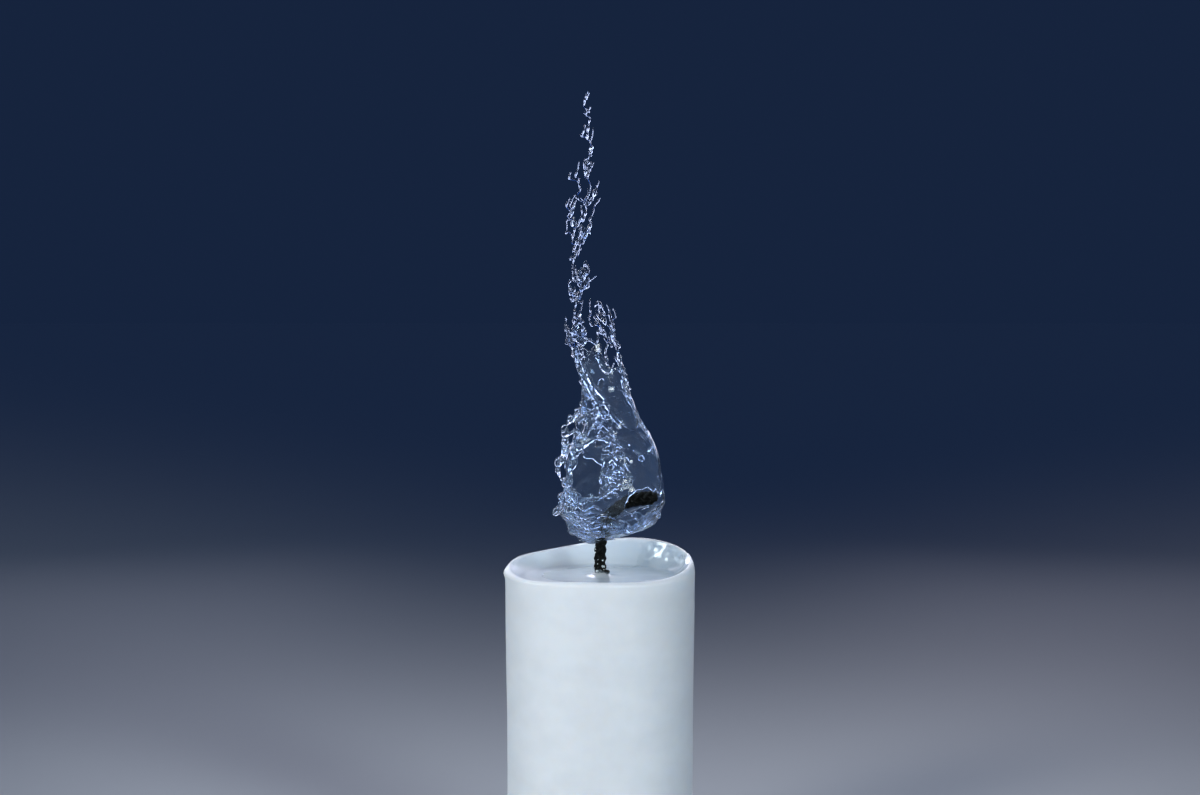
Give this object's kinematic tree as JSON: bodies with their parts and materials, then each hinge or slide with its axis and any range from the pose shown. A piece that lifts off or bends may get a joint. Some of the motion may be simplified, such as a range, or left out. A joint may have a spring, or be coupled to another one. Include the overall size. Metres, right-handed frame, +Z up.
{
  "type": "melted pillar candle",
  "caption": "White pillar candle burnt down to a lopsided rim round a shallow pool, its curled wick wrapped in a splash of clear water shaped like a flame.",
  "frame": {"origin": "centre of the base, on the surface that the candle stands on", "axes": "+Z up along the candle's axis; +Y towards the back, where the melted rim is highest; +X towards the side that the wick's tip bends to"},
  "size_m": [0.0514, 0.051, 0.2215],
  "materials": {
    "wax": "smooth bluish-white wax, satin outside and glossy where it has melted",
    "wick": "charred braided cotton with specks of wax",
    "tinned_steel": "thin tinned steel, lightly dulled",
    "water": "clear water with a faint blue tint"
  },
  "bodies": {
    "root": {"wax_body": "wax", "wick": "wick", "wick_sustainer": "tinned_steel", "water_flame": "water"}
  },
  "joints": []
}
